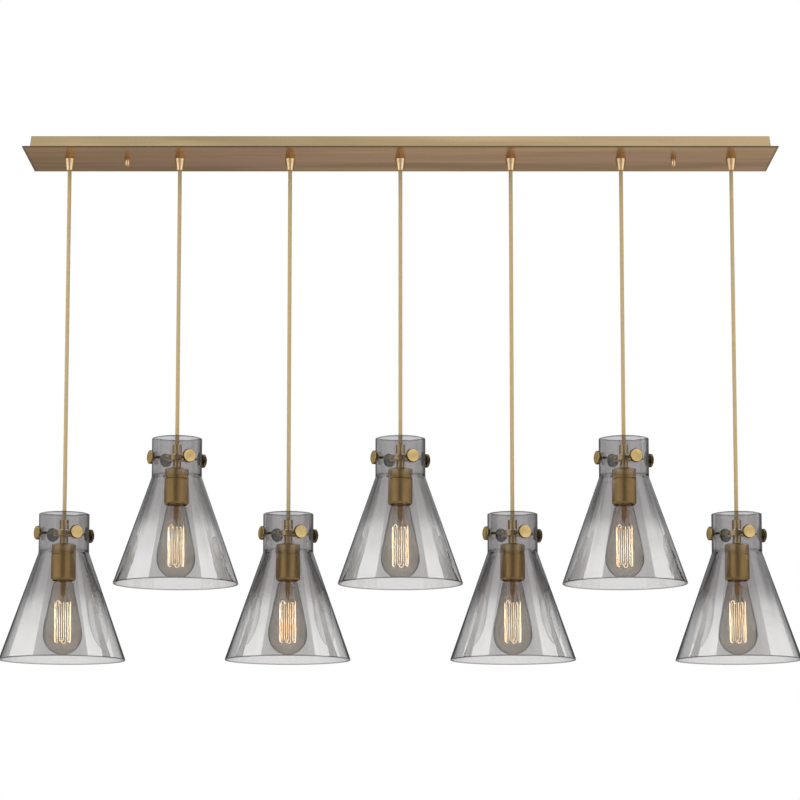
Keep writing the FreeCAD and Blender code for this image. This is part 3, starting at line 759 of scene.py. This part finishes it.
def makeKnurlTree():
    sizes = {"Ridges": 40, "Rim Radius": 0.01, "Ridge Width": 0.001, "Ridge Length": 0.003,
             "Ridge Middle": 0.0}
    book, body = newTree("knurledRim", sizes)
    ridges = book.other(body, "Ridges")
    rim = {"Vertices": ridges, "Radius": book.other(body, "Rim Radius")}
    circle = book.add("GeometryNodeMeshCircle", {}, rim)
    middle = book.add("ShaderNodeCombineXYZ", {}, {"Z": book.other(body, "Ridge Middle")})
    raised = book.add("GeometryNodeTransform", {}, {0: circle, "Translation": middle})
    ridge = {"Vertices": 4, "Radius": book.other(body, "Ridge Width") / 2,
             "Depth": book.other(body, "Ridge Length")}
    bar = book.add("GeometryNodeMeshCylinder", {}, ridge)
    spread = {"Points": raised, "Instance": bar, "Rotation": turnByIndex(book, ridges)}
    knurl = book.add("GeometryNodeInstanceOnPoints", {}, spread)
    return endTree(book, body, book.add("GeometryNodeJoinGeometry", {}, {0: [body, knurl]}))


def makeRingTree():
    book, piece = newTree("ringOfPieces", {"Count": 4})
    count = book.other(piece, "Count")
    places = book.add("GeometryNodePoints", {}, {"Count": count})
    spread = {"Points": places, "Instance": piece, "Rotation": turnByIndex(book, count)}
    return endTree(book, piece, book.add("GeometryNodeInstanceOnPoints", {}, spread))


def makeWireTree():
    book, path = newTree("wireOnPath", {"Wire Diameter": 0.001, "Sides": 6})
    line = book.add("GeometryNodeMeshToCurve", {}, {0: path})
    section = {"Resolution": book.other(path, "Sides"), "Radius": book.other(path, "Wire Diameter") / 2}
    ring = book.add("GeometryNodeCurvePrimitiveCircle", {}, section)
    wire = book.add("GeometryNodeCurveToMesh", {}, {0: line, "Profile Curve": ring, "Fill Caps": True})
    return endTree(book, path, book.add("GeometryNodeSetShadeSmooth", {}, {0: wire}))


trees = {"knurl": makeKnurlTree(), "ring": makeRingTree(), "wire": makeWireTree()}


def grown(treeName, mesh, material, sizes):
    piece = linked(treeName + "Maker", mesh)
    modifier = piece.modifiers.new(treeName, "NODES")
    modifier.node_group = trees[treeName]
    wanted = {**sizes, "Material": material}
    for socket in trees[treeName].interface.items_tree:
        if socket.in_out == "INPUT" and socket.name in wanted:
            modifier[socket.identifier] = wanted[socket.name]
    result = evaluated(piece)
    bpy.data.objects.remove(piece)
    return result


print("node trees built:", len(trees))


# Where the pendants hang, read from the frame
headTurn = {"middle": 25.0, "step": 2.3, "front": -90.0}  # degrees about each cord


def findPendants():
    found = []
    for number in range(1, 1 + sum(name.startswith("hub_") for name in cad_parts)):
        low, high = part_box(f"hub_{number}")
        found.append({"number": number, "x": (low.x + high.x) / 2, "collar": high.z})
    middle = (len(found) + 1) / 2
    for pendant in found:
        turn = headTurn["front"] + headTurn["middle"] - (pendant["number"] - middle) * headTurn["step"]
        pendant["place"] = (Matrix.Translation((pendant["x"], 0, pendant["collar"]))
                            @ Matrix.Rotation(math.radians(turn), 4, "Z"))
    return found


pendants = findPendants()

# Cords: straight and taut from the bend under the grip to the seat in the collar
cordSize = {"diameter": 0.0064, "sides": 20, "resolution": 40, "capRings": 5}


def cordRoute(pendant):
    low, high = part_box(f"cord_{pendant['number']}")
    x = pendant["x"]
    return [(x, 0, high.z), (x, 0, (low.z + high.z) / 2), (x, 0, low.z)]


def splinePoints(route):
    curve = bpy.data.curves.new("route", "CURVE")
    curve.dimensions = "3D"
    spline = curve.splines.new("NURBS")
    spline.points.add(len(route) - 1)
    for point, place in zip(spline.points, route):
        point.co = (*place, 1)
    spline.order_u = 3
    spline.use_endpoint_u = True
    spline.resolution_u = cordSize["resolution"]
    holder = linked("route", curve)
    line = bpy.data.meshes.new_from_object(holder)
    points = [vertex.co.copy() for vertex in line.vertices]
    bpy.data.objects.remove(holder)
    return points if points[0].z > points[-1].z else points[::-1]


def cordTube(name, line):
    radius = cordSize["diameter"] / 2
    sides = cordSize["sides"]
    rings = []  # (centre, radius) down the cord, with a round upper end
    top = line[0]
    for step in range(1, cordSize["capRings"] + 1):
        angle = math.pi / 2 * step / cordSize["capRings"]
        rings.append((top - lift(radius * (1 - math.cos(angle))), radius * math.sin(angle)))
    rings += [(point, radius) for point in line if point.z < top.z - radius * 1.01]
    points = [tuple(top)]
    for centre, reach in rings:
        for i in range(sides):
            angle = 2 * math.pi * i / sides
            points.append((centre.x + reach * math.cos(angle), centre.y + reach * math.sin(angle),
                           centre.z))
    points.append(tuple(rings[-1][0]))
    faces = [(0, 1 + i, 1 + (i + 1) % sides) for i in range(sides)]
    for row in range(len(rings) - 1):
        start = 1 + row * sides
        for i in range(sides):
            j = (i + 1) % sides
            faces.append((start + i, start + sides + i, start + sides + j, start + j))
    last = 1 + (len(rings) - 1) * sides
    faces += [(len(points) - 1, last + (i + 1) % sides, last + i) for i in range(sides)]
    mesh = pointOutwards(newMesh(name, points, faces))
    unwrapCord(mesh, Vector((top.x, top.y, 0)), top.z)
    return smoothed(mesh, 60)


def unwrapCord(mesh, axis, top):
    layer = mesh.uv_layers.new(name="weave")
    for face in mesh.polygons:
        turns = []
        for vertex in face.vertices:
            spot = mesh.vertices[vertex].co - axis
            turns.append(math.atan2(spot.y, spot.x) / (2 * math.pi) % 1.0)
        wraps = max(turns) - min(turns) > 0.5
        for loop, vertex, turn in zip(face.loop_indices, face.vertices, turns):
            around = turn + 1.0 if wraps and turn < 0.5 else turn
            layer.data[loop].uv = (around, top - mesh.vertices[vertex].co.z)


def hangCords():
    for pendant in pendants:
        number = pendant["number"]
        line = splinePoints(cordRoute(pendant))
        mesh = cordTube(f"cord{number}", line)
        mesh.materials.append(finishes["cord"])
        cord = linked(f"woven_cord_{number}", mesh)
        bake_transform(cord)
        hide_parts(f"cord_{number}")


hangCords()
print("cords hung:", len(pendants))

# Heads: each piece is made once, with zero at the collar's top, then set on every head
shadeSize = {
    "neck": 0.0405,  # outer radius
    "mouth": 0.1015,
    "glass": 0.003,
    "top": 0.012,
    "turn": -0.0515,  # where the neck becomes the cone
    "foot": -0.225,
    "bend": 0.005,
    "bead": 0.0014,  # thicker glass inside the bend
    "beadReach": 0.0045,
    "rim": 0.00135,
    "mouthRim": 0.8,  # share of that rounding at the mouth
    "hole": 0.0029,
    "segments": 160,
}


def makeShade():
    size = shadeSize
    lean = math.atan2(size["mouth"] - size["neck"], size["turn"] - size["foot"])
    level = size["glass"] / math.cos(lean)
    innerTurn = size["turn"] - (level - size["glass"]) / math.tan(lean)
    neckIn = size["neck"] - size["glass"]
    mouthRim = size["rim"] * size["mouthRim"]
    reach = size["beadReach"]
    mesh = lathe("shade", roundedLoop([
        (neckIn, size["top"], size["rim"]), (size["neck"], size["top"], size["rim"]),
        (size["neck"], size["turn"], size["bend"]), (size["mouth"], size["foot"], mouthRim),
        (size["mouth"] - level, size["foot"], mouthRim),
        (neckIn + reach * math.tan(lean), innerTurn - reach, reach / 2),
        (neckIn - size["bead"], innerTurn, reach / 2), (neckIn, innerTurn + reach, reach / 2),
    ]), size["segments"], 60)
    glass = linked("shadeMaker", mesh)
    drill = drilledBy(size["hole"], size["neck"] * 1.2)
    cut = glass.modifiers.new("screwHoles", "BOOLEAN")
    cut.object = drill
    cut.solver = "EXACT"
    mesh = evaluated(glass)
    bpy.data.objects.remove(glass)
    bpy.data.objects.remove(drill)
    rise = mesh.attributes.new("shadeRise", "FLOAT", "POINT")
    outside = mesh.attributes.new("shadeOutside", "FLOAT", "POINT")
    for i, vertex in enumerate(mesh.vertices):
        outer = size["neck"] + max(0, size["turn"] - vertex.co.z) * math.tan(lean)
        rise.data[i].value = (vertex.co.z - size["foot"]) / (size["top"] - size["foot"])
        outside.data[i].value = math.hypot(vertex.co.x, vertex.co.y) > outer - level / 2
    return smoothed(mesh, 60)


def drilledBy(radius, reach):
    start = 0.01  # clear of the cord's axis
    corners = ((0, start), (radius, start), (radius, reach), (0, reach))
    bit = lathe("bit", [Vector(corner) for corner in corners], 24)
    laySideways(bit)
    return linked("drill", grown("ring", bit, None, {"Count": screwSize["count"]}))


screwSize = {
    "count": 4,
    "tip": 0.0129,  # distances from the cord's axis
    "seat": 0.0406,
    "back": 0.0440,
    "face": 0.0490,
    "thread": 0.0021,
    "threadPitch": 0.0008,
    "threadDepth": 0.0003,
    "shoulder": 0.0045,
    "knob": 0.0111,
    "edge": 0.0006,
    "edgeRound": 0.0002,
    "shoulderRound": 0.0003,
    "overlap": 0.0005,  # of the shank in the knob
    # how far the painted shade darkens the knob's rim and back, and its shank
    "knobRimShade": 0.9,
    "shankShade": 0.35,
    "ridges": 64,
    "ridgeWidth": 0.0009,
    "level": -0.0215,
}


def laySideways(mesh):
    turned = Matrix.Rotation(math.radians(90), 4, "Y")
    mesh.transform(Matrix.Translation(lift(screwSize["level"])) @ turned)


def makeThumbScrews():
    size = screwSize
    rim = size["knob"] - size["ridgeWidth"] / 2
    edge = size["edge"]
    knob = lathe("knob", roundedLoop([
        (0, size["seat"]), (size["shoulder"], size["seat"], size["shoulderRound"]),
        (size["shoulder"], size["back"]), (rim - edge, size["back"], size["edgeRound"]),
        (rim, size["back"] + edge), (rim, size["face"] - edge),
        (rim - edge, size["face"], size["edgeRound"]), (0, size["face"]),
    ]), 64, 30)
    knob = grown("knurl", knob, finishes["knob"], {
        "Ridges": size["ridges"], "Rim Radius": rim, "Ridge Width": size["ridgeWidth"],
        "Ridge Length": size["face"] - size["back"] - 2 * edge,
        "Ridge Middle": (size["face"] + size["back"]) / 2,
    })
    shank = helix("shank", size["thread"], size["tip"], size["seat"] + size["overlap"],
                  size["threadPitch"], size["threadDepth"], 12, 4)
    screw = joined("thumbScrew", [knob, shank])
    spin = screw.attributes.new("spinRadius", "FLOAT", "POINT")
    patina = screw.attributes.new("patina", "FLOAT", "POINT")
    for i, vertex in enumerate(screw.vertices):
        radius = math.hypot(vertex.co.x, vertex.co.y)
        spin.data[i].value = radius
        # painted shade on all but the knob's front face
        if vertex.co.z < size["face"] - edge / 2:
            onKnob = radius > size["shoulder"] * 1.1
            patina.data[i].value = size["knobRimShade" if onKnob else "shankShade"]
    laySideways(screw)
    return grown("ring", smoothed(screw, 30), finishes["knob"], {"Count": size["count"]})


bulbSize = {
    "collar": -0.094,  # lower edge of the base
    "tip": -0.211,
    "radius": 0.0315,
    "sideRadius": 0.090,
    "neck": 0.016,
    "shoulder": 0.005,
    "glass": 0.0008,
    "tuck": 0.008,
    "tuckRadius": 0.0126,
    "sideSteps": 8,
    "endSteps": 16,
    "baseRadius": 0.0132,
    "baseLength": 0.024,
    "tipRadius": 0.0045,
    "tipLength": 0.003,
    "thread": (0.0036, 0.0009),  # pitch and depth of the rolled thread
    "plain": 0.002,  # plain ends of the base
    "lap": 0.0022,  # how far the skirt and the cap reach over them
}


def bulbSide(inset):
    size = bulbSize
    endRadius = size["radius"] - inset
    endLevel = size["tip"] + size["radius"]
    sideRadius = size["sideRadius"] - inset
    centre = endRadius - sideRadius
    neck = Vector((size["neck"] - inset, size["collar"] - size["shoulder"]))
    over, above = neck.x - centre, neck.y - endLevel
    slope = math.atan2(above, over) - math.acos(sideRadius / math.hypot(over, above))
    side = [Vector((size["tuckRadius"] - inset, size["collar"] + size["tuck"])),
            Vector((size["tuckRadius"] - inset, size["collar"])), neck]
    for step in range(size["sideSteps"] + 1):
        angle = slope * (1 - step / size["sideSteps"])
        side.append(Vector((centre + sideRadius * math.cos(angle),
                            endLevel + sideRadius * math.sin(angle))))
    for step in range(1, size["endSteps"] + 1):
        angle = math.pi / 2 * step / size["endSteps"]
        side.append(Vector((endRadius * math.cos(angle), endLevel - endRadius * math.sin(angle))))
    side[-1].x = 0
    return side


def makeBulbGlass():
    return lathe("bulbGlass", bulbSide(0) + bulbSide(bulbSize["glass"])[::-1], 72, 60)


def makeBulbBase():
    size = bulbSize
    top = size["collar"] + size["baseLength"]
    pitch, depth = size["thread"]
    foot, radius, plain = size["collar"], size["baseRadius"], size["plain"]
    barrel = helix("barrel", radius, foot + plain, top - plain, pitch, depth, 36, 8)
    skirt = lathe("skirt", roundedLoop([
        (0, foot + size["lap"]), (0, foot), (radius, foot, 0.0004), (radius, foot + size["lap"], 0.0004),
    ]), 48)
    tip = size["tipRadius"]
    cap = lathe("cap", roundedLoop([
        (0, top - size["lap"]), (radius - depth, top - size["lap"]),
        (tip, top + size["tipLength"] * 0.6, 0.0005), (tip, top + size["tipLength"], 0.0008),
        (0, top + size["tipLength"]),
    ]), 48)
    return smoothed(joined("bulbBase", [barrel, skirt, cap]))


cageSize = {
    "radius": 0.0131,
    "top": -0.1275,
    "foot": -0.1912,
    "runs": 12,
    "turn": 12.5,  # degrees, so that the near and far runs stand apart
    "wire": 0.0006,
    "wireSides": 6,
    "hook": 0.0008,
    "hookInset": 0.0011,  # from the cage's end
    "hookRoot": (0.006, -0.004),  # where low and high hooks leave the rod
    "curl": 0.0009,
    "leads": (0, 3, 8, 11),  # runs that hang on a lead
    "leadTop": -0.100,
    "waver": 0.0003,  # how far the hot wire strays from straight
    "steps": 6,  # along a run and round a bend
    "stemRadius": 0.004,
    "stemFoot": -0.120,
    "press": 0.0026,  # radius of the stem's pinched foot
    "rod": 0.001,
    "button": 0.0016,
    "seed": 11,
}


def cageSpot(run, level):
    angle = math.radians(cageSize["turn"] + 360 * run / cageSize["runs"])
    return Vector((cageSize["radius"] * math.cos(angle), cageSize["radius"] * math.sin(angle), level))


def cageTurn():
    return (cageSpot(0, 0) - cageSpot(1, 0)).length / 2


def pathMesh(name, lines):
    points = []
    edges = []
    for line in lines:
        edges += [(len(points) + i, len(points) + i + 1) for i in range(len(line) - 1)]
        points += line
    mesh = bpy.data.meshes.new(name)
    mesh.from_pydata(points, edges, [])
    return mesh


def makeFilament():
    draw = random.Random(cageSize["seed"])
    bend = cageTurn()
    steps = cageSize["steps"]
    high, low = cageSize["top"] - bend, cageSize["foot"] + bend
    line = []
    for run in range(cageSize["runs"]):
        down = run % 2 == 0
        first, last = (high, low) if down else (low, high)
        for step in range(steps + 1):
            stray = cageSize["waver"] * math.sin(math.pi * step / steps)
            spot = cageSpot(run, first + (last - first) * step / steps)
            line.append(spot + Vector((draw.uniform(-stray, stray), draw.uniform(-stray, stray), 0)))
        if run < cageSize["runs"] - 1:
            middle = (cageSpot(run, last) + cageSpot(run + 1, last)) / 2
            for step in range(1, steps):
                angle = math.pi * step / steps
                swing = (cageSpot(run, last) - middle) * math.cos(angle)
                line.append(middle + swing + lift((-bend if down else bend) * math.sin(angle)))
    return bentWire("filament", [line], "glow", cageSize["wire"])


def makeHooks():
    size = cageSize
    lines = []
    for run in range(size["runs"] - 1):
        low = run % 2 == 0
        inwards = 1 if low else -1
        level = size["foot" if low else "top"] + inwards * size["hookInset"]
        root = level + size["hookRoot"][run % 2]
        curl = inwards * size["curl"]
        out = (cageSpot(run, 0) + cageSpot(run + 1, 0)) / 2
        shape = ((0, root), (0.25, root), (0.8, level + curl), (0.97, level),
                 (1.03, level + curl * 0.3), (1.02, level + curl))  # share of the way out, and level
        lines.append([out * share + lift(height) for share, height in shape])
    for run in size["leads"]:
        end = cageSpot(run, size["top"] - cageTurn())
        flat = Vector((end.x, end.y, 0))
        shape = ((0.2, size["leadTop"]), (0.7, size["leadTop"] - 0.003), (0.76, size["top"] + 0.006))
        lines.append([flat * share + lift(height) for share, height in shape] + [end])
    return bentWire("hooks", lines, "grip", size["hook"])


def bentWire(name, lines, finish, diameter):
    sizes = {"Wire Diameter": diameter, "Sides": cageSize["wireSides"]}
    return grown("wire", pathMesh(name, lines), finishes[finish], sizes)


def makeStem():
    size = cageSize
    top = bulbSize["collar"] + bulbSize["tuck"]
    flare = bulbSize["tuckRadius"] - 2 * bulbSize["glass"]
    press, rod, button = size["press"], size["rod"], size["button"]
    pinch = size["stemFoot"]
    foot = size["foot"] + 0.0005
    return lathe("stem", roundedLoop([
        (0, top - 0.001), (flare - 0.001, top - 0.001), (flare, top),
        (size["stemRadius"], top - 0.010, 0.003), (size["stemRadius"], pinch + 0.006, 0.002),
        (press, pinch + 0.002, 0.001), (press, pinch, 0.0008), (rod, pinch - 0.002, 0.0005),
        (rod, foot + 0.002), (button, foot + 0.001), (button * 0.75, foot), (0, foot),
    ]), 32, 50)


def dressHeads():
    bulbParts = {"bulb_glass": (makeBulbGlass(), "bulb"), "bulb_base": (makeBulbBase(), "grip"),
                 "bulb_stem": (makeStem(), "stem"), "bulb_hooks": (makeHooks(), "grip"),
                 "bulb_filament": (makeFilament(), "glow")}
    parts = [("thumb_screw_set", makeThumbScrews(), "knob", "thumb_screws", "brushed_brass"),
             ("glass_shade", makeShade(), "shade", "shade", "smoked_glass")]
    parts += [(name, mesh, finish, "bulb", "bulb_glass") for name, (mesh, finish) in bulbParts.items()]
    for name, mesh, finish, node, slot in parts:
        mesh.materials.clear()
        mesh.materials.append(finishes[finish])
        for pendant in pendants:
            number = pendant["number"]
            own = mesh.copy()
            own.transform(pendant["place"])
            piece = linked(f"{name}_{number}", own)
            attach(piece, f"head_{number}")
            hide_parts(f"{node}_{number}")
    print("head pieces set:", len(parts) * len(pendants))


dressHeads()

# Canopy
nutSize = {
    "radius": 0.0048,
    "round": 0.0009,
    "ridges": 26,
    "ridgeWidth": 0.0005,
    "ridgeHeight": 0.00012,
    "nose": 0.0016,  # plain foot under the ridges
    "shoulder": 0.0004,
    "waist": 0.0012,  # height of the groove and flange at the top
    "groove": 0.0007,
    "taper": 0.24,  # how much slimmer the foot is
}


def makeThumbNuts():
    low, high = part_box("canopy_thumb_nuts")
    size = nutSize
    rim = size["radius"] - size["ridgeHeight"]
    foot, top = low.z, high.z
    waist = top - size["waist"]
    groove = rim - size["groove"]
    body = lathe("thumbNut", roundedLoop([
        (0, foot), (rim - 0.0004, foot, size["round"]), (rim, foot + size["nose"]),
        (rim, waist - size["shoulder"]), (groove, waist, 0.0003), (groove, top - 0.0007),
        (rim, top - 0.0005), (rim, top), (0, top),
    ]), 48, 30)
    nut = grown("knurl", body, finishes["grip"], {
        "Ridges": size["ridges"], "Rim Radius": size["radius"] - size["ridgeWidth"] / 2,
        "Ridge Width": size["ridgeWidth"], "Ridge Length": waist - foot - 0.0026,
        "Ridge Middle": (waist + foot + size["nose"]) / 2,
    })
    for vertex in nut.vertices:
        slim = 1 - size["taper"] * (top - vertex.co.z) / (top - foot)
        vertex.co.x *= slim
        vertex.co.y *= slim
    pair = []
    for x in (low.x + size["radius"], high.x - size["radius"]):
        own = nut.copy()
        own.transform(Matrix.Translation((x, 0, 0)))
        pair.append(own)
    mesh = smoothed(joined("thumbNuts", pair), 30)
    mesh.materials.append(finishes["grip"])
    nuts = linked("knurled_thumb_nuts", mesh)
    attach(nuts, "canopy")
    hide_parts("canopy_thumb_nuts")


nodeFinish = {
    "canopy_plate": "plate", "canopy_wall": "wall", "cord_grips": "grip", "mounting_strap": "zinc",
    "strap_studs": "zinc", "stud_nuts": "zinc", "grip_nuts": "zinc", "earth_screw": "zinc",
    "terminal_block": "black", "inner_leads": "lead", "hub": "hub", "socket_cover": "turned",
    "lampholder": "black",
}


def paintNodes():
    for name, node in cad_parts.items():
        base = name.rstrip("0123456789").rstrip("_")
        if not node.hide_render:
            node.data.materials.clear()
            node.data.materials.append(finishes[nodeFinish[base]])


makeThumbNuts()
paintNodes()
print("canopy dressed")
